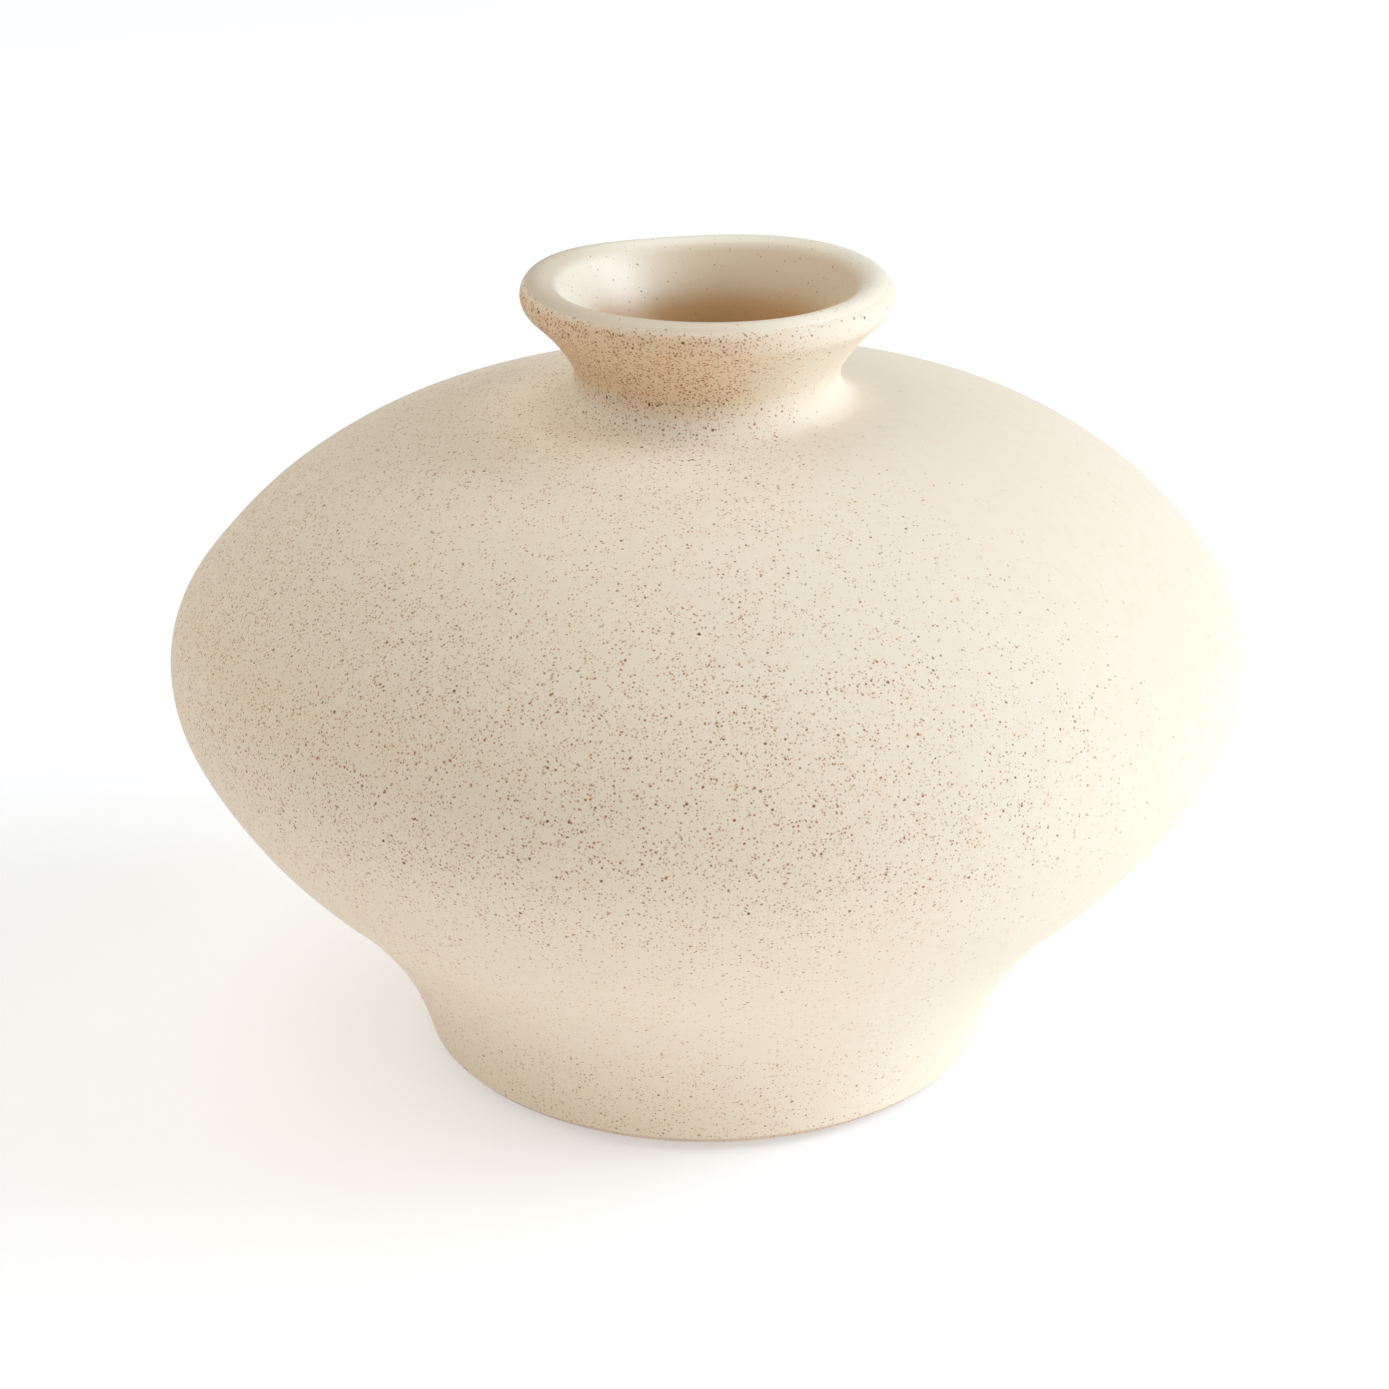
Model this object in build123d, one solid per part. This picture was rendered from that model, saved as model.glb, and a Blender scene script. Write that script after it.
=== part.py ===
"""Round stoneware vase, thrown in four sections that are luted together with slip, then glazed.

Units are millimetres and +Z is up.  The origin is on the vase's axis, at the surface it stands on.
Every clay and glaze piece is a half section in the XZ plane turned once round the Z axis.
"""
import math
import os
from collections import namedtuple

from build123d import *

# ---------------------------------------------------------------- driving dimensions (mm, degrees)
BELLY_RADIUS = 152.0        # clay, at the widest point
WALL = 7.0                  # clay wall
GLAZE = 0.5                 # each fired glaze coat
SLIP = 0.6                  # luting slip between two sections
TONGUE = 2.5                # how far the upper section's edge dips into the lower one's groove

# The outside of the clay, from the foot up to the lip, is a chain of arcs that run smoothly into each
# other.  Each one is (radius, turn).  A positive radius bends the wall in over the vase, and a
# negative one bends it out.
FOOT_LEAN = 75.7            # slope of the wall where it leaves the foot, up from the horizontal
WAIST_BENDS = ((-108.1, 19.7), (-161.9, 12.0))
LOWER_BELLY_BENDS = ((135.8, 21.0), (38.8, 25.0))
SHOULDER_BENDS = ((36.6, 35.8), (114.6, 36.3), (191.2, 13.2))
NECK_BENDS = ((-8.5, 117.0), (-59.9, 17.4))
LIP_RADIUS = 4.8
LIP_GLAZE_LINE = 45.0       # the liner glaze rolls over the lip as far as this slope of its surface

FUNNEL_RADIUS = 60.0        # inside of the neck, between the lip and the throat
FLOOR_THICKNESS = 9.0
FLOOR_CORNER = 16.0         # radius where the inside wall meets the floor

FOOT_EDGE = 4.0             # rounding of the foot's outer edge
FOOT_RING_WIDTH = 14.0      # flat ring under the foot
RECESS_DEPTH = 3.0          # hollow inside the foot ring
RECESS_EDGE = 2.0           # sideways run of the recess's sloping wall

PAD_COUNT = 4
PAD_RADIUS = 5.0
PAD_THICKNESS = 1.5
PAD_EDGE = 0.3

SEAM_OVERRUN = 2.0          # how far a seam's cutting shape stands out of the wall on each side

Bend = namedtuple("Bend", "centre radius side start end")


# ---------------------------------------------------------------- plane geometry
def on_circle(centre, radius, angle):
    """Point on a circle, at an angle in degrees."""
    turn = math.radians(angle)
    return (centre[0] + radius * math.cos(turn), centre[1] + radius * math.sin(turn))


def direction(first, second):
    """Angle in degrees of the line from the first point to the second."""
    return math.degrees(math.atan2(second[1] - first[1], second[0] - first[0]))


def in_section(point):
    """A (radius, height) pair as a point of the half section."""
    return Vector(point[0], 0, point[1])


def walk(start, heading, bends):
    """Lay arcs end to end from a start point and heading, and return them with the last heading."""
    laid = []
    point = start
    for radius, turn in bends:
        side = math.copysign(1, radius)
        first = heading - side * 90
        centre = on_circle(point, abs(radius), first + 180)
        laid.append(Bend(centre, abs(radius), side, first, first + side * turn))
        point = on_circle(centre, abs(radius), first + side * turn)
        heading += side * turn
    return laid, heading


def at_depth(bend, angle, depth):
    """Point of a bend at a depth below the outer clay surface."""
    return on_circle(bend.centre, bend.radius - bend.side * depth, angle)


def bend_edge(bend, depth):
    """The bend as an edge, moved parallel to itself to a depth below the outer clay surface."""
    middle = (bend.start + bend.end) / 2
    points = [at_depth(bend, angle, depth) for angle in (bend.start, middle, bend.end)]
    return ThreePointArc(*[in_section(point) for point in points])


def straight(first, second):
    """Straight edge of the half section."""
    return Line(in_section(first), in_section(second))


def inscribed_bend(first_bend, second_bend, radius, depth_first, depth_second):
    """Bend of a given radius that holds two round ones inside it and touches them both."""
    reach_first = radius - (first_bend.radius - first_bend.side * depth_first)
    reach_second = radius - (second_bend.radius - second_bend.side * depth_second)
    span = math.dist(first_bend.centre, second_bend.centre)
    along = (reach_first**2 - reach_second**2 + span**2) / (2 * span)
    swing = math.degrees(math.acos(along / reach_first))
    centre = on_circle(first_bend.centre, reach_first,
                       direction(first_bend.centre, second_bend.centre) + swing)
    return centre, direction(centre, first_bend.centre), direction(centre, second_bend.centre)


# ---------------------------------------------------------------- the vase's outline
def rise_and_run(bends, heading):
    """How far a chain of bends goes outwards and upwards."""
    laid, _ = walk((0, 0), heading, bends)
    return at_depth(laid[-1], laid[-1].end, 0)


FOOT_TOP_HEIGHT = PAD_THICKNESS + FOOT_EDGE * (1 - math.cos(math.radians(FOOT_LEAN)))
WALL_FOOT_RADIUS = BELLY_RADIUS - rise_and_run(WAIST_BENDS + LOWER_BELLY_BENDS, FOOT_LEAN)[0]
FOOT_FLAT_RADIUS = WALL_FOOT_RADIUS - FOOT_EDGE * math.sin(math.radians(FOOT_LEAN))

outer, lip_heading = walk((WALL_FOOT_RADIUS, FOOT_TOP_HEIGHT), FOOT_LEAN,
                          WAIST_BENDS + LOWER_BELLY_BENDS + SHOULDER_BENDS + NECK_BENDS)
WAIST_SEAM = len(WAIST_BENDS)
BELLY_SEAM = WAIST_SEAM + len(LOWER_BELLY_BENDS)
NECK_SEAM = BELLY_SEAM + len(SHOULDER_BENDS)

lip_start = at_depth(outer[-1], outer[-1].end, 0)
outer_lip = walk(lip_start, lip_heading, ((LIP_RADIUS, 90 + LIP_GLAZE_LINE - lip_heading),))[0][0]
throat = outer[NECK_SEAM]
funnel_centre, funnel_top, funnel_foot = inscribed_bend(outer_lip, throat, FUNNEL_RADIUS, 0, WALL)
inner_lip = Bend(outer_lip.centre, LIP_RADIUS, 1, outer_lip.end, funnel_top % 360)
funnel = Bend(funnel_centre, FUNNEL_RADIUS, 1, funnel_top % 360, funnel_foot % 360)
inner_throat = Bend(throat.centre, throat.radius, throat.side, throat.start, funnel_foot % 360)

FLOOR_TOP = PAD_THICKNESS + RECESS_DEPTH + FLOOR_THICKNESS


def outside(coat):
    """Outer surface from the foot to the glaze line on the lip, a coat of glaze above the clay."""
    return [bend_edge(bend, -coat) for bend in outer + [outer_lip]]


def inside(coat):
    """Inner surface from the glaze line on the lip to the middle of the floor."""
    wall_depth = WALL + coat
    foot_bend = outer[0]
    corner_radius = FLOOR_CORNER - coat
    corner_height = FLOOR_TOP + FLOOR_CORNER
    reach = foot_bend.radius + WALL + FLOOR_CORNER
    corner_run = math.sqrt(reach**2 - (corner_height - foot_bend.centre[1])**2)
    corner = (foot_bend.centre[0] - corner_run, corner_height)
    towards_wall = direction(corner, foot_bend.centre)
    lowest = Bend(foot_bend.centre, foot_bend.radius, foot_bend.side,
                  towards_wall + 180, foot_bend.end)
    corner_bend = Bend(corner, corner_radius, 1, -90, towards_wall)
    floor_edge = (corner[0], FLOOR_TOP + coat)
    edges = [bend_edge(inner_lip, -coat), bend_edge(funnel, -coat)]
    edges += [bend_edge(inner_throat, wall_depth)]
    edges += [bend_edge(bend, wall_depth) for bend in reversed(outer[1:NECK_SEAM])]
    edges += [bend_edge(lowest, wall_depth), bend_edge(corner_bend, 0)]
    edges += [straight(floor_edge, (0, FLOOR_TOP + coat))]
    return edges


def underside():
    """Foot edge, foot ring and recess, from the outer wall to the axis."""
    edge = Bend((FOOT_FLAT_RADIUS, PAD_THICKNESS + FOOT_EDGE), FOOT_EDGE, 1, -90, FOOT_LEAN - 90)
    ring_inner = FOOT_FLAT_RADIUS - FOOT_RING_WIDTH
    recess_top = PAD_THICKNESS + RECESS_DEPTH
    corners = [(FOOT_FLAT_RADIUS, PAD_THICKNESS), (ring_inner, PAD_THICKNESS),
               (ring_inner - RECESS_EDGE, recess_top), (0, recess_top)]
    return [bend_edge(edge, 0)] + [straight(a, b) for a, b in zip(corners, corners[1:])]


def section_face(edges):
    """Closed half section from its edges."""
    return make_face(Wire(edges))


def turned(face):
    """Solid of revolution about the vase's axis."""
    return revolve(face, Axis.Z)


# ---------------------------------------------------------------- clay sections and slip
def seam_shape(bend):
    """Cross-section of the slip at the start of a bend: a shallow V right across the wall."""
    surface = at_depth(bend, bend.start, 0)
    outwards = bend.start if bend.side > 0 else bend.start + 180
    upwards = outwards + 90
    inner_edge = on_circle(surface, -(WALL + SEAM_OVERRUN), outwards)
    outer_edge = on_circle(surface, SEAM_OVERRUN, outwards)
    middle = on_circle(on_circle(surface, -WALL / 2, outwards), -TONGUE, upwards)
    lower = [on_circle(point, -SLIP / 2, upwards) for point in (outer_edge, middle, inner_edge)]
    upper = [on_circle(point, SLIP / 2, upwards) for point in (inner_edge, middle, outer_edge)]
    loop = lower + upper
    return section_face([straight(a, b) for a, b in zip(loop, loop[1:] + loop[:1])])


def clay_half_section():
    """Half section of all the clay, before it is divided at the seams."""
    axis_edge = straight((0, FLOOR_TOP), (0, PAD_THICKNESS + RECESS_DEPTH))
    return section_face(outside(0) + inside(0) + [axis_edge] + list(reversed(underside())))


def clay_pieces():
    """The four thrown sections and the three rings of slip, as named solids."""
    clay = clay_half_section()
    seams = [seam_shape(outer[index]) for index in (WAIST_SEAM, BELLY_SEAM, NECK_SEAM)]
    pieces = {}
    for name, seam in zip(("waist_slip", "belly_slip", "neck_slip"), seams):
        pieces[name] = turned(clay & seam)
    for seam in seams:
        clay = clay - seam
    sections = sorted(clay.faces(), key=lambda face: face.center().Z)
    names = ("base_section", "belly_section", "shoulder_section", "neck_collar")
    for name, face in zip(names, sections, strict=True):
        pieces[name] = turned(face)
    return pieces


# ---------------------------------------------------------------- glaze coats
def glaze_line():
    """Edge where the two glazes meet on the lip."""
    return straight(at_depth(outer_lip, outer_lip.end, 0), at_depth(outer_lip, outer_lip.end, -GLAZE))


def exterior_glaze():
    """Coat over the outside, from the lip down to the top of the bare foot."""
    bare_edge = straight(at_depth(outer[0], outer[0].start, -GLAZE),
                         at_depth(outer[0], outer[0].start, 0))
    return turned(section_face(outside(0) + [glaze_line()] + outside(GLAZE)[::-1] + [bare_edge]))


def liner_glaze():
    """Coat over the lip, the neck's inside, the inner wall and the floor."""
    axis_edge = straight((0, FLOOR_TOP + GLAZE), (0, FLOOR_TOP))
    return turned(section_face([glaze_line()] + inside(GLAZE) + [axis_edge] + inside(0)[::-1]))


# ---------------------------------------------------------------- pads
def foot_pads():
    """Small round pads stuck under the foot ring, as separate solids in one piece."""
    ring_middle = FOOT_FLAT_RADIUS - FOOT_RING_WIDTH / 2
    pad = Cylinder(PAD_RADIUS, PAD_THICKNESS, align=(Align.CENTER, Align.CENTER, Align.MIN))
    pad = fillet(pad.edges().group_by(Axis.Z)[0], PAD_EDGE)
    places = PolarLocations(ring_middle, PAD_COUNT, start_angle=180 / PAD_COUNT)
    return Compound(children=[place * pad for place in places])


def main():
    """Write one STEP file for each piece."""
    os.makedirs("parts", exist_ok=True)
    pieces = clay_pieces()
    pieces["exterior_glaze"] = exterior_glaze()
    pieces["liner_glaze"] = liner_glaze()
    pieces["foot_pads"] = foot_pads()
    for name, shape in pieces.items():
        export_step(shape, f"parts/{name}.step")


main()
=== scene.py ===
"""Speckled cream stoneware vase: its fired surfaces, light and camera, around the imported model.

Lengths are metres unless a name ends in _MM, angles are degrees, +Z is up and the front faces -Y.
"""
import math
from collections import namedtuple

import bmesh
import bpy
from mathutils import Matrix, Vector, noise

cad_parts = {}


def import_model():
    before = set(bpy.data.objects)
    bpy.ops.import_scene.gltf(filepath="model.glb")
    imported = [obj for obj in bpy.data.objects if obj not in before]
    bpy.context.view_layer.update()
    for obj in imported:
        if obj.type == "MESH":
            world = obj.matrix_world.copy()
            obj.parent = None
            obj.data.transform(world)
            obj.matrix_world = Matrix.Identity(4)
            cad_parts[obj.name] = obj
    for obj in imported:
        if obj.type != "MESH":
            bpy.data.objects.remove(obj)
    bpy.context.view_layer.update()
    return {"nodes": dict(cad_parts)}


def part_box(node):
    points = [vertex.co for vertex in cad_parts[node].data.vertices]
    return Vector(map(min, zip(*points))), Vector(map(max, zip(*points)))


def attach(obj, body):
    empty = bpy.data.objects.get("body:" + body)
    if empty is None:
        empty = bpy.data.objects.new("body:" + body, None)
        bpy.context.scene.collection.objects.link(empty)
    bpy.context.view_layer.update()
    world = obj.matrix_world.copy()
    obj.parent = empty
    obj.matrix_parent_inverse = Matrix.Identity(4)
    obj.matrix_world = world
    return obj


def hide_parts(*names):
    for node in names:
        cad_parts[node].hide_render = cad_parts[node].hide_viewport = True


MM = 0.001

# ------------------------------------------------------------------ outline, as the clay is turned
# Arcs that run smoothly into each other, from the foot up: (radius, turn).  A positive radius bends
# the wall in over the vase, and a negative one bends it out.
FOOT_LEAN = 75.7
BODY_BENDS_MM = (
    (-108.1, 19.7), (-161.9, 12.0),                     # foot and waist
    (135.8, 21.0), (38.8, 25.0),                        # lower belly
    (36.6, 35.8), (114.6, 36.3), (191.2, 13.2),         # shoulder
    (-8.5, 117.0), (-59.9, 17.4),                       # neck
)
THROAT_BEND = 7
LIP_RADIUS_MM = 4.8
LIP_GLAZE_LINE = 45.0
FUNNEL_RADIUS_MM = 60.0
WALL_MM = 7.0
GLAZE_MM = 0.5
FLOOR_TOP_MM = 13.5
FLOOR_CORNER_MM = 16.0

# ------------------------------------------------------------------ meshes
AROUND = 360                # faces round the vase
ROW_STEP_MM = 2.2           # longest face along the profile
HIDDEN_ROW_STEP_MM = 12.0   # the same, on a coat's side against the clay
ROW_TURN = 7                # most that the profile turns from one face to the next
FLOOR_STEPS = 4             # a face on the vase's flat floor is this many steps long
SKIN_GAP_MM = 0.03          # between a glaze coat's hidden side and the clay
SHARP_EDGE = 40             # an edge that turns by more than this is shaded sharp

# ------------------------------------------------------------------ unevenness of a hand-thrown vase
RIM_HEIGHTS_MM = (195, 222)                 # the rim's waves fade in between these
RIM_WAVES_MM = (                            # (waves round the rim, rise, where one peaks)
    (1, 0.46, -78), (2, 0.54, 9), (3, 0.37, 41), (4, 0.17, -23),
)
SHOULDER_LEAN_MM = 1.5                      # the right shoulder stands this much above the mean
SHOULDER_RISE_MM = (122, 152)               # the lean fades in and out between these heights
SHOULDER_FALL_MM = (186, 198)
RING_PITCH_MM = 8.0                         # rings that the thrower's fingers left
RING_RISE_MM = 0.06
RING_FADE_MM = 30.0                         # and that fade out nearer the axis than this
RING_SWAY_MM = 300.0                        # a ring wanders over this distance
DENT_SIZE_MM = 45.0
DENT_RISE_MM = 0.08

# ------------------------------------------------------------------ glaze: how it lies on the vase, and light and shade painted on it
# (height in mm, share of grains that show there), from the foot to the lip
CROWDING = ((4, 0.5), (25, 0.42), (50, 0.2), (85, 0.25), (108, 0.65), (126, 0.98), (155, 0.85),
            (169, 0.62), (181, 0.4), (191, 0.45), (197, 0.85), (206, 1.0), (224, 1.0))
LIP_CROWDING = ((223, 0.0), (225.5, 0.6), (227.2, 0.5), (227.8, 0.0))

# (height in mm, how much tan there is: partly the clay's tan through thinly laid glaze, partly painted
# shade under the lip's flare and in the neck's crease)
THIN_GLAZE_AND_SHADE = ((4, 0.35), (25, 0.3), (45, 0.28), (56, 0.28), (70, 0.3), (92, 0.3), (118, 0.24),
            (140, 0.18), (160, 0.04), (192, 0.0), (197, 0.15), (201, 0.55), (206, 1.0),
            (224.5, 1.0), (226.8, 0.35), (227.6, 0.0))
# (height in mm, share of another colour there: painted light on a paler band of pooled glaze at the
# neck root, and painted shade in the throat, on one wall inside and over the lip)
POOLING_AND_PAINTED_LIGHT = ((189, 0.0), (193.5, 1.0), (198, 1.0), (203, 0.0))    # thick pale glaze at the neck root, lightened more as painted light in its shaded crease
# painted shade: tan deepening down in the throat
THROAT_PAINTED_SHADE = ((196, 1.0), (210, 1.0), (219, 0.1), (222, 0.0))
WALL_PAINTED_SHADE = ((205, 0.45), (226, 0.45), (227.5, 0.0))             # painted shade on one side inside the mouth, the side away from the key light
LIP_PAINTED_SHADE = ((225.0, 0.0), (227.5, 1.0))                      # painted shade: greyer cream over the lip

# Amounts that hold at one azimuth, counted from the right, and fade round the vase:
# (azimuth, cosines of the angle from it where the amount is 0 and 1)
# Specks crowd on the shaded side, partly as painted shade
CROWDED_SHADE_SIDE = (200, -0.65, 0.4)
# The shaded side, where the tan, the pale pooled band and the lip's grey are painted as shade and
# light
SHADOWED_SIDE = (210, -0.2, 0.7)
# The wall inside the mouth that is in shade
SHADED_WALL_SIDE = (35, -0.2, 0.7)

# Colours of glaze, iron specks, clay and rubber, and of light and shade painted on the glaze
CREAM = (0.84, 0.757, 0.615)
PALE_CREAM = (0.855, 0.775, 0.645)
TAN = (0.79, 0.58, 0.385)
LINER_CREAM = (0.92, 0.85, 0.68)
LINER_PALE = (0.92, 0.88, 0.76)
# painted shade inside the mouth
LINER_SHADE_TAN = (0.58, 0.34, 0.14)
# pooled glaze, made paler still as painted light
POOLED_AND_LIT_CREAM = (0.95, 0.89, 0.77)
# painted shade on the lip
LIP_SHADOW_CREAM = (0.71, 0.62, 0.48)
RUST = (0.45, 0.17, 0.05)
UMBER = (0.23, 0.085, 0.02)
SOOT = (0.10, 0.04, 0.008)
OCHRE = (0.62, 0.36, 0.16)
BUFF_CLAY, DARK_CLAY = (0.72, 0.60, 0.46), (0.64, 0.51, 0.38)
SLIP_CLAY, DARK_SLIP = (0.66, 0.54, 0.41), (0.60, 0.48, 0.35)
DULL_SILICONE, PALE_SILICONE = (0.70, 0.68, 0.63), (0.80, 0.78, 0.74)

# Sizes of grain: spacing mm, radius mm, share of the radius that is solid, first colour,
# second colour, strength
BODY_GRAINS = (
    (0.8, 0.28, 0.4, OCHRE, RUST, 0.85),
    (1.1, 0.37, 0.45, RUST, UMBER, 0.9),
    (1.8, 0.44, 0.5, RUST, UMBER, 1.0),
    (4.6, 0.54, 0.6, UMBER, SOOT, 1.0),
)
NECK_GRAINS = (
    (0.85, 0.34, 0.4, RUST, UMBER, 1.0),
    (1.35, 0.44, 0.4, UMBER, SOOT, 1.0),
)
LIP_GRAINS = ((2.4, 0.50, 0.6, SOOT, SOOT, 1.0),)
FAINTEST_GRAIN = 0.35           # strength of the faintest grain beside the strongest
GRAIN_SHAKE_MM = (0.5, 0.22)    # size and reach of the shake that makes a grain's edge uneven
SHOWN_SOFTNESS = 0.02           # a grain fades in over this much crowding each way
SMUDGE = (9, 1.0, 0.1, 0.8)     # spacing mm, radius mm, solid share, share of places with a smudge
SMUDGE_STRENGTH = 0.35
MOTTLE_STRENGTH = 0.15
PATCH_RANGE = (0.7, 1.3)        # how a broad patch of glaze thins it and crowds its specks
CLUSTER_RANGE = (0.5, 1.5)      # how specks crowd in small clusters
NECK_CLUSTER_RANGE = (0.6, 1.3)
NECK_THIN_AND_SHADE = (0.4, 0.8)      # the neck's grains fade in where the tan of thinner glaze and painted shade reaches these amounts
LINER_CROWDING = (0.0, 0.14)    # share of grains that show in the liner, from patch to patch
CLAY_CROWDING = 0.7             # share of grains that show in bare clay
MATTE_SHINE = 0.2               # a matte glaze reflects less than a glossy one

# ------------------------------------------------------------------ camera, light and floor
CAMERA_DISTANCE = 0.9
CAMERA_TILT = 23.46
CAMERA_LENS_MM = 80.35
CAMERA_SENSOR_MM = 36.0
CAMERA_HEIGHT_AIM = 0.10325
CAMERA_SIDESTEP = -0.0035

LIGHT_DISTANCE = 4.0
# name, azimuth from the front towards the right, elevation, width, height, watts, colour
SOFTBOXES = (
    ("key_softbox", 90, 30, 2.6, 2.2, 96, (0.89, 1.0, 1.15)),
    ("low_softbox", 60, 8, 2.6, 1.2, 34, (1.05, 1.0, 0.92)),
    ("left_softbox", -90, 60, 4.5, 4.0, 61, (1.10, 1.0, 0.80)),
    ("back_softbox", 180, 60, 3.0, 2.4, 14, (0.9, 1.0, 1.1)),
)
ROOM_COLOUR = (1.0, 1.0, 1.0)
ROOM_STRENGTH = 0.33
FLOOR_SIZE = 40.0
FLOOR_COLOUR = (0.83, 0.84, 0.85)
FLOOR_ROUGHNESS = 0.9
FLOOR_GLOW_COLOUR = (0.96, 1.0, 1.05)
FLOOR_GLOW = 0.32

Bend = namedtuple("Bend", "centre radius side start end")


# ------------------------------------------------------------------ plane geometry of the outline
def on_circle(centre, radius, angle):
    """Point on a circle, at an angle in degrees."""
    turn = math.radians(angle)
    return (centre[0] + radius * math.cos(turn), centre[1] + radius * math.sin(turn))


def direction(first, second):
    """Angle in degrees of the line from the first point to the second."""
    return math.degrees(math.atan2(second[1] - first[1], second[0] - first[0]))


def walk(start, heading, bends):
    """Lay arcs end to end, and return them with the last heading."""
    laid = []
    point = start
    for radius, turn in bends:
        side = math.copysign(1, radius)
        first = heading - side * 90
        centre = on_circle(point, abs(radius), first + 180)
        laid.append(Bend(centre, abs(radius), side, first, first + side * turn))
        point = on_circle(centre, abs(radius), first + side * turn)
        heading += side * turn
    return laid, heading


def at_depth(bend, angle, depth):
    """Point of a bend at a depth below the outer clay surface."""
    return on_circle(bend.centre, bend.radius - bend.side * depth, angle)


def bend_points(bend, depth, step):
    """Points along a bend, at a depth below the outer clay surface, each end included."""
    radius = bend.radius - bend.side * depth
    turn = abs(bend.end - bend.start)
    count = math.ceil(max(math.radians(turn) * radius / step, turn / ROW_TURN))
    angles = [bend.start + (bend.end - bend.start) * i / count for i in range(count + 1)]
    return [at_depth(bend, angle, depth) for angle in angles]


def backwards(bend):
    """The same bend, walked the other way."""
    return bend._replace(start=bend.end, end=bend.start)


def joined(pieces):
    """Point lists end to end, without the doubled point where two meet."""
    points = list(pieces[0])
    for piece in pieces[1:]:
        points += piece[1:]
    return points


class Outline:
    """The vase's turned outline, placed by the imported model's own size."""

    def __init__(self, belly_radius_mm, bare_foot_mm):
        bends = BODY_BENDS_MM
        trial, _ = walk((0, 0), FOOT_LEAN, bends[:4])
        foot_radius = belly_radius_mm - at_depth(trial[-1], trial[-1].end, 0)[0]
        self.outer, heading = walk((foot_radius, bare_foot_mm), FOOT_LEAN, bends)
        lip_start = at_depth(self.outer[-1], self.outer[-1].end, 0)
        lip_turn = 90 + LIP_GLAZE_LINE - heading
        self.outer_lip = walk(lip_start, heading, ((LIP_RADIUS_MM, lip_turn),))[0][0]
        self.place_funnel()

    def place_funnel(self):
        """Put the arc inside the neck where it touches the lip and the throat."""
        throat = self.outer[THROAT_BEND]
        reach_lip = FUNNEL_RADIUS_MM - LIP_RADIUS_MM
        reach_throat = FUNNEL_RADIUS_MM - (throat.radius + WALL_MM)
        lip_centre = self.outer_lip.centre
        span = math.dist(lip_centre, throat.centre)
        along = (reach_lip**2 - reach_throat**2 + span**2) / (2 * span)
        swing = math.degrees(math.acos(along / reach_lip))
        centre = on_circle(lip_centre, reach_lip, direction(lip_centre, throat.centre) + swing)
        top = direction(centre, lip_centre) % 360
        foot = direction(centre, throat.centre) % 360
        self.inner_lip = Bend(lip_centre, LIP_RADIUS_MM, 1, self.outer_lip.end, top)
        self.funnel = Bend(centre, FUNNEL_RADIUS_MM, 1, top, foot)
        self.inner_throat = throat._replace(start=foot, end=throat.start)

    def outside(self, coat, step):
        """Outer surface from the foot to the glaze line on the lip."""
        return joined([bend_points(bend, -coat, step) for bend in self.outer + [self.outer_lip]])

    def inside(self, coat, step):
        """Inner surface from the glaze line on the lip to the middle of the floor."""
        depth = WALL_MM + coat
        foot = self.outer[0]
        corner_height = FLOOR_TOP_MM + FLOOR_CORNER_MM
        reach = foot.radius + WALL_MM + FLOOR_CORNER_MM
        run = math.sqrt(reach**2 - (corner_height - foot.centre[1])**2)
        corner = (foot.centre[0] - run, corner_height)
        towards_wall = direction(corner, foot.centre)
        lowest = foot._replace(start=foot.end, end=towards_wall + 180)
        rounding = Bend(corner, FLOOR_CORNER_MM - coat, 1, towards_wall, -90)
        floor_height = FLOOR_TOP_MM + coat
        floor_count = math.ceil(corner[0] / (FLOOR_STEPS * step))
        floor = [(corner[0] * (1 - i / floor_count), floor_height) for i in range(floor_count)]
        pieces = [bend_points(self.inner_lip, -coat, step), bend_points(self.funnel, -coat, step)]
        pieces += [bend_points(self.inner_throat, depth, step)]
        for bend in reversed(self.outer[1:THROAT_BEND]):
            pieces += [bend_points(backwards(bend), depth, step)]
        pieces += [bend_points(lowest, depth, step), bend_points(rounding, 0, step), floor]
        return joined(pieces)


# ------------------------------------------------------------------ objects
def new_object(name, mesh):
    """Object of a mesh, linked to the scene."""
    obj = bpy.data.objects.new(name, mesh)
    bpy.context.scene.collection.objects.link(obj)
    return obj


def lathe(name, rings):
    """Closed mesh of a loop of rings turned round the axis.  A ring of radius 0 becomes one point."""
    mesh = bpy.data.meshes.new(name)
    shape = bmesh.new()
    turns = [2 * math.pi * i / AROUND for i in range(AROUND)]
    rows = []
    for radius, height in rings:
        if radius == 0:
            rows.append([shape.verts.new((0, 0, height))] * AROUND)
        else:
            rows.append([shape.verts.new((radius * math.cos(a), radius * math.sin(a), height))
                         for a in turns])
    for lower, upper in zip(rows, rows[1:] + rows[:1]):
        for i in range(AROUND):
            j = (i + 1) % AROUND
            corners = [lower[i], lower[j], upper[j], upper[i]]
            unique = [v for k, v in enumerate(corners) if v not in corners[:k]]
            if len(unique) > 2:
                shape.faces.new(unique)
    bmesh.ops.recalc_face_normals(shape, faces=shape.faces)
    shape.to_mesh(mesh)
    shape.free()
    mesh.shade_smooth()
    mesh.set_sharp_from_angle(angle=math.radians(SHARP_EDGE))
    return new_object(name, mesh)


def to_metres(points):
    """Millimetre points in metres."""
    return [(radius * MM, height * MM) for radius, height in points]


def smoothstep(low, high, value):
    """0 below low, 1 above high, and a smooth rise between them."""
    t = min(max((value - low) / (high - low), 0.0), 1.0)
    return t * t * (3 - 2 * t)


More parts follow.
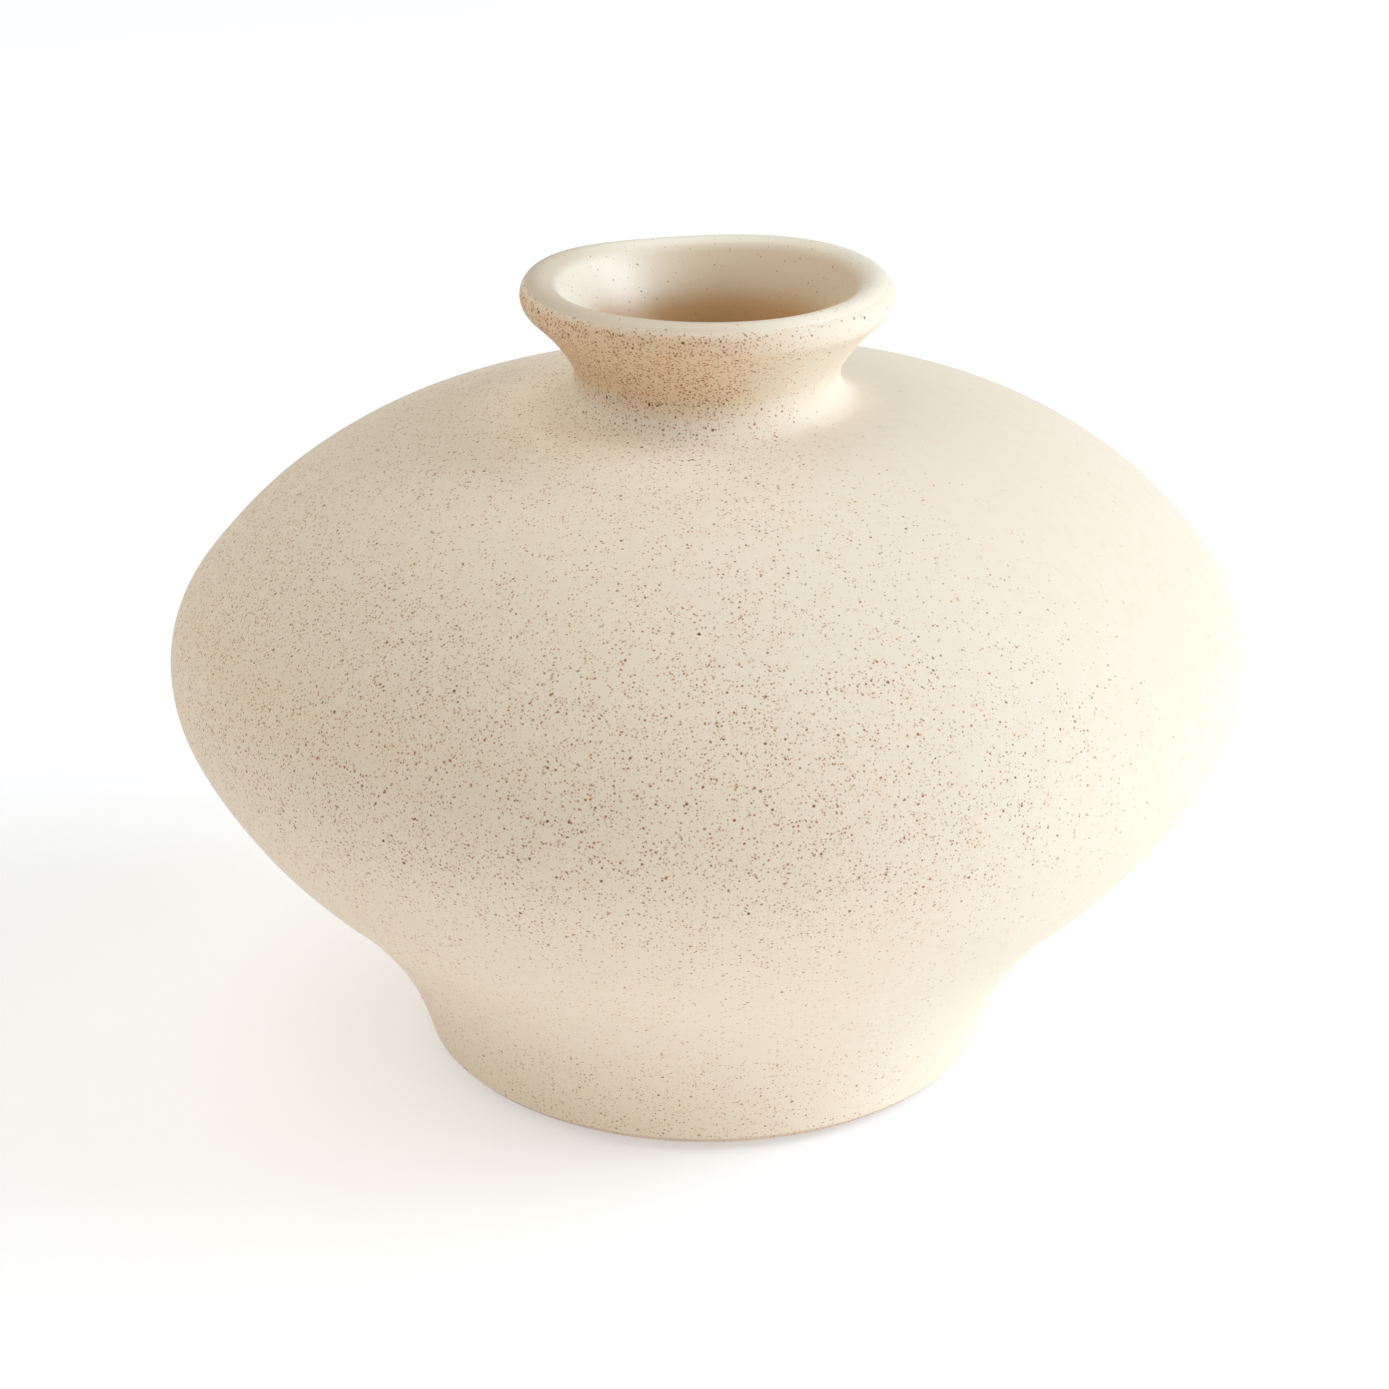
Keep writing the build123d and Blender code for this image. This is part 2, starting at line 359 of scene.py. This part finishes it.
# ------------------------------------------------------------------ hand-made unevenness
def hand_made(point):
    """A point of the true round shape, moved to where the potter's hands left it."""
    angle = math.atan2(point.y, point.x)
    height = point.z / MM
    rim = smoothstep(*RIM_HEIGHTS_MM, height)
    shoulder = smoothstep(*SHOULDER_RISE_MM, height) * (1 - smoothstep(*SHOULDER_FALL_MM, height))
    waves = sum(rise * math.cos(order * (angle - math.radians(peak)))
                for order, rise, peak in RIM_WAVES_MM)
    lift = rim * waves + shoulder * SHOULDER_LEAN_MM * math.cos(angle)
    return Vector((point.x, point.y, point.z + lift * MM))


def reshape(mesh):
    """Move every point of a mesh as the potter's hands did."""
    for vertex in mesh.vertices:
        vertex.co = hand_made(vertex.co)


def throwing_marks(mesh, count):
    """Raise faint finger rings and dents on the first points of a glaze coat, its visible side."""
    moves = []
    for vertex in mesh.vertices[:count]:
        point = vertex.co / MM
        radius = math.hypot(point.x, point.y)
        ring = noise.noise(Vector((point.x / RING_SWAY_MM, point.y / RING_SWAY_MM,
                                   point.z / RING_PITCH_MM)))
        dent = noise.noise(point / DENT_SIZE_MM)
        rise = RING_RISE_MM * ring + DENT_RISE_MM * dent
        moves.append(vertex.normal * (rise * MM * min(1.0, radius / RING_FADE_MM)))
    for vertex, move in zip(mesh.vertices, moves):
        vertex.co = vertex.co + move


def between(table, value):
    """Value read from a table of (place, amount), smooth from one entry to the next."""
    if value <= table[0][0]:
        return table[0][1]
    for (low, first), (high, second) in zip(table, table[1:]):
        if value <= high:
            return first + (second - first) * smoothstep(low, high, value)
    return table[-1][1]


def share_round(side, angle):
    """Share of an amount that is left at an azimuth, for an amount that fades round the vase."""
    azimuth, low, high = side
    return smoothstep(low, high, math.cos(angle - math.radians(azimuth)))


def paint(mesh, name, table, side=None):
    """Store an amount that depends on height and azimuth at each point, for a material to read."""
    amounts = [between(table, v.co.z / MM) for v in mesh.vertices]
    if side:
        shares = [share_round(side, math.atan2(v.co.y, v.co.x)) for v in mesh.vertices]
        amounts = [amount * share for amount, share in zip(amounts, shares)]
    mesh.attributes.new(name, "FLOAT", "POINT").data.foreach_set("value", amounts)


# ------------------------------------------------------------------ material recipes
class Recipe:
    """One material's nodes, with short calls that add a node and give its result."""

    MIX_FACTOR, MIX_FIRST, MIX_SECOND, MIX_RESULT = 0, 6, 7, 2      # a Mix node's colour sockets

    def __init__(self, name):
        self.material = bpy.data.materials.new(name)
        self.material.use_nodes = True
        self.tree = self.material.node_tree
        self.shader = self.tree.nodes["Principled BSDF"]
        self.place = self.node("ShaderNodeTexCoord").outputs["Object"]

    def set(self, socket, value):
        """Link a socket to another node's result, or give it a plain value."""
        if isinstance(value, bpy.types.NodeSocket):
            self.tree.links.new(value, socket)
        else:
            socket.default_value = value

    def node(self, kind, sockets=None, **options):
        """New node with its options set and its sockets filled."""
        node = self.tree.nodes.new(kind)
        for option, value in options.items():
            setattr(node, option, value)
        for key, value in (sockets or {}).items():
            self.set(node.inputs[key], value)
        return node

    def maths(self, operation, *values):
        """Result of one sum on numbers."""
        node = self.node("ShaderNodeMath", dict(enumerate(values)), operation=operation)
        return node.outputs["Value"]

    def vector_maths(self, operation, first, second):
        """Result of one sum on vectors."""
        node = self.node("ShaderNodeVectorMath", {0: first, 1: second}, operation=operation)
        return node.outputs["Vector"]

    def fade(self, value, start, end):
        """0 where the value is at start and 1 where it is at end, smooth between."""
        sockets = {"Value": value, "From Min": start, "From Max": end}
        return self.node("ShaderNodeMapRange", sockets, interpolation_type="SMOOTHSTEP").outputs[0]

    def scaled(self, value, low, high):
        """A number from 0 to 1, taken to run from low to high."""
        sockets = {"Value": value, "To Min": low, "To Max": high}
        return self.node("ShaderNodeMapRange", sockets).outputs[0]

    def noise(self, size_mm, detail, result="Fac"):
        """Soft noise from 0 to 1, in lumps of about this size."""
        sockets = {"Vector": self.place, "Scale": 1 / (size_mm * MM), "Detail": detail}
        return self.node("ShaderNodeTexNoise", sockets).outputs[result]

    def mix(self, factor, first, second):
        """Colour part of the way from the first to the second."""
        sockets = {self.MIX_FACTOR: factor, self.MIX_FIRST: opaque(first),
                   self.MIX_SECOND: opaque(second)}
        return self.node("ShaderNodeMix", sockets, data_type="RGBA").outputs[self.MIX_RESULT]

    def painted(self, name):
        """Amount that paint() stored on the mesh."""
        return self.node("ShaderNodeAttribute", attribute_name=name).outputs["Fac"]

    def shaken_place(self, size_mm, reach_mm):
        """Places moved a little at random, so that a grain is never a perfect ball."""
        shake = self.vector_maths("SUBTRACT", self.noise(size_mm, 1, "Color"), (0.5, 0.5, 0.5))
        reach = reach_mm * MM * 2
        shake = self.vector_maths("MULTIPLY", shake, (reach, reach, reach))
        return self.vector_maths("ADD", self.place, shake)

    def grains(self, place, spacing_mm, radius_mm, solid_share, crowding):
        """Where the surface cuts through scattered grains, and three random numbers for each."""
        spacing = spacing_mm * MM
        cells = self.node("ShaderNodeTexVoronoi", {"Vector": place, "Scale": 1 / spacing})
        chances = self.node("ShaderNodeSeparateColor", {"Color": cells.outputs["Color"]})
        radius = radius_mm / spacing_mm
        inside = self.fade(cells.outputs["Distance"], radius, radius * solid_share)
        spare = self.maths("SUBTRACT", crowding, chances.outputs["Red"])
        shown = self.fade(spare, -SHOWN_SOFTNESS, SHOWN_SOFTNESS)
        return self.maths("MULTIPLY", inside, shown), chances.outputs

    def finish(self, colour, roughness):
        """Give the shader its colour and roughness."""
        self.set(self.shader.inputs["Base Color"], colour)
        self.set(self.shader.inputs["Roughness"], roughness)

    def bump(self, height, rise_mm):
        """Give the shader a bump of this height."""
        sockets = {"Height": height, "Distance": rise_mm * MM, "Strength": 1.0}
        self.set(self.shader.inputs["Normal"], self.node("ShaderNodeBump", sockets).outputs[0])


def opaque(colour):
    """Colour with full alpha, or a socket as it is."""
    return colour if isinstance(colour, bpy.types.NodeSocket) else (*colour, 1)


def add_grains(recipe, colour, crowding, sizes):
    """Scatter iron grains over a colour."""
    place = recipe.shaken_place(*GRAIN_SHAKE_MM)
    for spacing, radius, solid_share, first, second, strength in sizes:
        inside, chances = recipe.grains(place, spacing, radius, solid_share, crowding)
        grain_colour = recipe.mix(chances["Green"], first, second)
        depth = recipe.scaled(chances["Blue"], FAINTEST_GRAIN * strength, strength)
        colour = recipe.mix(recipe.maths("MULTIPLY", inside, depth), colour, grain_colour)
    return colour


def exterior_glaze_material():
    """Matte cream glaze with rust and dark iron specks, tan where the glaze lies thinly and where
    shade is painted, and a paler band at the neck root that is partly painted light.
    """
    recipe = Recipe("speckled_matte_glaze")
    recipe.set(recipe.shader.inputs["Specular IOR Level"], MATTE_SHINE)
    patches = recipe.noise(60, 2)
    clusters = recipe.fade(recipe.noise(6, 3), 0.35, 0.65)
    mottling = recipe.fade(recipe.noise(4, 3), 0.45, 0.75)
    patch_share = recipe.scaled(patches, *PATCH_RANGE)
    # Tan of thinly laid glaze, and painted shade in the neck's crease and on the shaded side
    thin_and_shade = recipe.maths("MULTIPLY", recipe.painted("thin_glaze_and_shade"), patch_share)
    colour = recipe.mix(patches, CREAM, PALE_CREAM)
    # Paler pooled glaze at the neck root, partly painted light on its shaded side
    colour = recipe.mix(recipe.painted("pooling_and_painted_light"), colour, POOLED_AND_LIT_CREAM)
    colour = recipe.mix(thin_and_shade, colour, TAN)
    colour = recipe.mix(recipe.maths("MULTIPLY", mottling, MOTTLE_STRENGTH), colour, TAN)
    smudge, _ = recipe.grains(recipe.place, *SMUDGE)
    colour = recipe.mix(recipe.maths("MULTIPLY", smudge, SMUDGE_STRENGTH), colour, OCHRE)
    cluster_share = recipe.scaled(clusters, *CLUSTER_RANGE)
    # More specks on the shaded side, partly painted shade
    crowding = recipe.maths("MULTIPLY", recipe.painted("crowding"), cluster_share)
    crowding = recipe.maths("MULTIPLY", crowding, patch_share)
    colour = add_grains(recipe, colour, crowding, BODY_GRAINS)
    neck_share = recipe.scaled(clusters, *NECK_CLUSTER_RANGE)
    on_neck = recipe.maths("MULTIPLY", recipe.fade(thin_and_shade, *NECK_THIN_AND_SHADE), neck_share)
    colour = add_grains(recipe, colour, on_neck, NECK_GRAINS)
    colour = add_grains(recipe, colour, recipe.painted("lip_crowding"), LIP_GRAINS)
    recipe.finish(colour, recipe.scaled(recipe.noise(5, 3), 0.55, 0.68))
    recipe.bump(recipe.scaled(recipe.noise(0.9, 3), 0, 0.5), 0.035)
    return recipe.material


def liner_glaze_material():
    """Smoother satin cream glaze with very few specks, and painted shade: tan down in the throat and
    on the shaded wall, greyer over the lip.
    """
    recipe = Recipe("satin_liner_glaze")
    patches = recipe.noise(40, 2)
    colour = recipe.mix(patches, LINER_CREAM, LINER_PALE)
    # Painted shade over the lip
    colour = recipe.mix(recipe.painted("lip_painted_shade"), colour, LIP_SHADOW_CREAM)
    # Painted shade on the shaded wall
    colour = recipe.mix(recipe.painted("wall_painted_shade"), colour, LINER_SHADE_TAN)
    # Painted shade down in the throat
    colour = recipe.mix(recipe.painted("throat_painted_shade"), colour, LINER_SHADE_TAN)
    crowding = recipe.scaled(recipe.noise(12, 2), *LINER_CROWDING)
    colour = add_grains(recipe, colour, crowding, BODY_GRAINS[:2])
    recipe.finish(colour, recipe.scaled(recipe.noise(6, 3), 0.32, 0.42))
    recipe.bump(recipe.scaled(recipe.noise(1.4, 2), 0, 0.5), 0.02)
    return recipe.material


def clay_material(name, colour, dark, grain_mm):
    """Unglazed fired clay with iron grains and a dry, sandy surface."""
    recipe = Recipe(name)
    shade = recipe.mix(recipe.noise(25, 4), colour, dark)
    shade = add_grains(recipe, shade, CLAY_CROWDING, BODY_GRAINS[1:3])
    recipe.finish(shade, recipe.scaled(recipe.noise(3, 3), 0.8, 0.95))
    recipe.bump(recipe.noise(grain_mm, 4), 0.12)
    return recipe.material


def pad_material():
    """Cloudy silicone of the foot pads."""
    recipe = Recipe("cloudy_silicone")
    shade = recipe.mix(recipe.noise(2.5, 3), DULL_SILICONE, PALE_SILICONE)
    recipe.finish(shade, recipe.scaled(recipe.noise(1.2, 2), 0.42, 0.6))
    recipe.bump(recipe.noise(0.4, 2), 0.02)
    return recipe.material


# ------------------------------------------------------------------ the vase's pieces
def stand_in(piece, node):
    """Let a piece stand for a CAD node: hang it from the root body and hide the node."""
    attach(piece, "root")
    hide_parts(node)


def glaze_coat(name, visible, hidden, material):
    """Closed slim coat between the profile that shows and the one against the clay."""
    coat = lathe(name, to_metres(visible) + to_metres(reversed(hidden)))
    coat.data.materials.append(material)
    return coat


def add_exterior(outline):
    """Outer glaze, from the bare foot up to the line on the lip."""
    visible = outline.outside(GLAZE_MM, ROW_STEP_MM)
    hidden = outline.outside(SKIN_GAP_MM, HIDDEN_ROW_STEP_MM)
    coat = glaze_coat("speckled_exterior_glaze", visible, hidden, exterior_glaze_material())
    # Specks crowd on the shaded side, partly painted shade
    paint(coat.data, "crowding", CROWDING, CROWDED_SHADE_SIDE)
    # Tan of thinly laid glaze and of painted shade, on the shaded side
    paint(coat.data, "thin_glaze_and_shade", THIN_GLAZE_AND_SHADE, SHADOWED_SIDE)
    # Pooled glaze and painted light at the neck root, on the shaded side
    paint(coat.data, "pooling_and_painted_light", POOLING_AND_PAINTED_LIGHT, SHADOWED_SIDE)
    paint(coat.data, "lip_crowding", LIP_CROWDING)
    throwing_marks(coat.data, (len(visible) - 1) * AROUND)
    reshape(coat.data)
    stand_in(coat, "exterior_glaze")


def add_liner(outline):
    """Inner glaze, over the lip and down to the floor."""
    visible = outline.inside(GLAZE_MM, ROW_STEP_MM)
    hidden = outline.inside(SKIN_GAP_MM, HIDDEN_ROW_STEP_MM)
    coat = glaze_coat("satin_liner_glaze", visible, hidden, liner_glaze_material())
    # Painted shade down the throat
    paint(coat.data, "throat_painted_shade", THROAT_PAINTED_SHADE)
    # Painted shade on the wall in shade
    paint(coat.data, "wall_painted_shade", WALL_PAINTED_SHADE, SHADED_WALL_SIDE)
    # Painted shade over the lip's shaded side
    paint(coat.data, "lip_painted_shade", LIP_PAINTED_SHADE, SHADOWED_SIDE)
    reshape(coat.data)
    stand_in(coat, "liner_glaze")


def add_uneven_clay(frame, node, material):
    """Copy of a turned clay piece, uneven like the glaze that covers it."""
    mesh = frame["nodes"][node].data.copy()
    reshape(mesh)
    mesh.materials.clear()
    mesh.materials.append(material)
    piece = new_object("uneven_" + node, mesh)
    stand_in(piece, node)


def dress(frame, node, material):
    """Give a CAD node its material."""
    mesh = frame["nodes"][node].data
    mesh.materials.clear()
    mesh.materials.append(material)


def add_clay(frame):
    """Clay sections, the slip in their seams and the pads under the foot."""
    clay = clay_material("buff_stoneware", BUFF_CLAY, DARK_CLAY, 0.6)
    slip = clay_material("fired_slip", SLIP_CLAY, DARK_SLIP, 0.25)
    for node in ("base_section", "belly_section"):
        dress(frame, node, clay)
    for node in ("waist_slip", "belly_slip"):
        dress(frame, node, slip)
    for node in ("shoulder_section", "neck_collar"):
        add_uneven_clay(frame, node, clay)
    add_uneven_clay(frame, "neck_slip", slip)
    dress(frame, "foot_pads", pad_material())


# ------------------------------------------------------------------ camera, light and floor
def add_camera():
    """Camera in front of the vase and above it, looking down on it."""
    data = bpy.data.cameras.new("camera")
    data.lens = CAMERA_LENS_MM
    data.sensor_width = CAMERA_SENSOR_MM
    camera = bpy.data.objects.new("camera", data)
    bpy.context.scene.collection.objects.link(camera)
    tilt = math.radians(CAMERA_TILT)
    camera.location = (CAMERA_SIDESTEP, -CAMERA_DISTANCE * math.cos(tilt),
                       CAMERA_HEIGHT_AIM + CAMERA_DISTANCE * math.sin(tilt))
    camera.rotation_euler = (math.pi / 2 - tilt, 0, 0)
    bpy.context.scene.camera = camera


def add_softbox(name, azimuth, elevation, width, height, power, colour):
    """Rectangular area light that points at the vase."""
    data = bpy.data.lights.new(name, "AREA")
    data.shape = "RECTANGLE"
    data.size = width
    data.size_y = height
    data.energy = power
    data.color = colour
    lamp = bpy.data.objects.new(name, data)
    bpy.context.scene.collection.objects.link(lamp)
    turn = math.radians(azimuth)
    rise = math.radians(elevation)
    away = Vector((math.sin(turn) * math.cos(rise), -math.cos(turn) * math.cos(rise), math.sin(rise)))
    lamp.location = Vector((0, 0, CAMERA_HEIGHT_AIM)) + away * LIGHT_DISTANCE
    lamp.rotation_euler = away.to_track_quat("Z", "Y").to_euler()


def add_light():
    """Soft light from the right, low and high, a wide one on the left, one behind, and a pale room."""
    for softbox in SOFTBOXES:
        add_softbox(*softbox)
    world = bpy.data.worlds.new("room")
    bpy.context.scene.world = world
    world.use_nodes = True
    background = world.node_tree.nodes["Background"]
    background.inputs["Color"].default_value = (*ROOM_COLOUR, 1)
    background.inputs["Strength"].default_value = ROOM_STRENGTH
    bpy.context.scene.view_settings.view_transform = "Standard"


def add_floor():
    """Plain pale floor that glows a little, like a light table."""
    mesh = bpy.data.meshes.new("floor")
    half = FLOOR_SIZE / 2
    corners = [(-half, -half, 0), (half, -half, 0), (half, half, 0), (-half, half, 0)]
    mesh.from_pydata(corners, [], [(0, 1, 2, 3)])
    floor = new_object("floor", mesh)
    material = bpy.data.materials.new("floor_paint")
    material.use_nodes = True
    shader = material.node_tree.nodes["Principled BSDF"]
    shader.inputs["Base Color"].default_value = (*FLOOR_COLOUR, 1)
    shader.inputs["Roughness"].default_value = FLOOR_ROUGHNESS
    shader.inputs["Emission Color"].default_value = (*FLOOR_GLOW_COLOUR, 1)
    shader.inputs["Emission Strength"].default_value = FLOOR_GLOW
    mesh.materials.append(material)


def main():
    """Build the scene."""
    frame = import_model()
    shoulder_low, shoulder_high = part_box("shoulder_section")
    glaze_low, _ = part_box("exterior_glaze")
    belly_radius = (shoulder_high.x - shoulder_low.x) / 2 / MM
    glaze_edge = GLAZE_MM * math.cos(math.radians(FOOT_LEAN))
    outline = Outline(belly_radius, glaze_low.z / MM + glaze_edge)
    add_camera()
    add_light()
    add_floor()
    add_exterior(outline)
    add_liner(outline)
    add_clay(frame)


main()
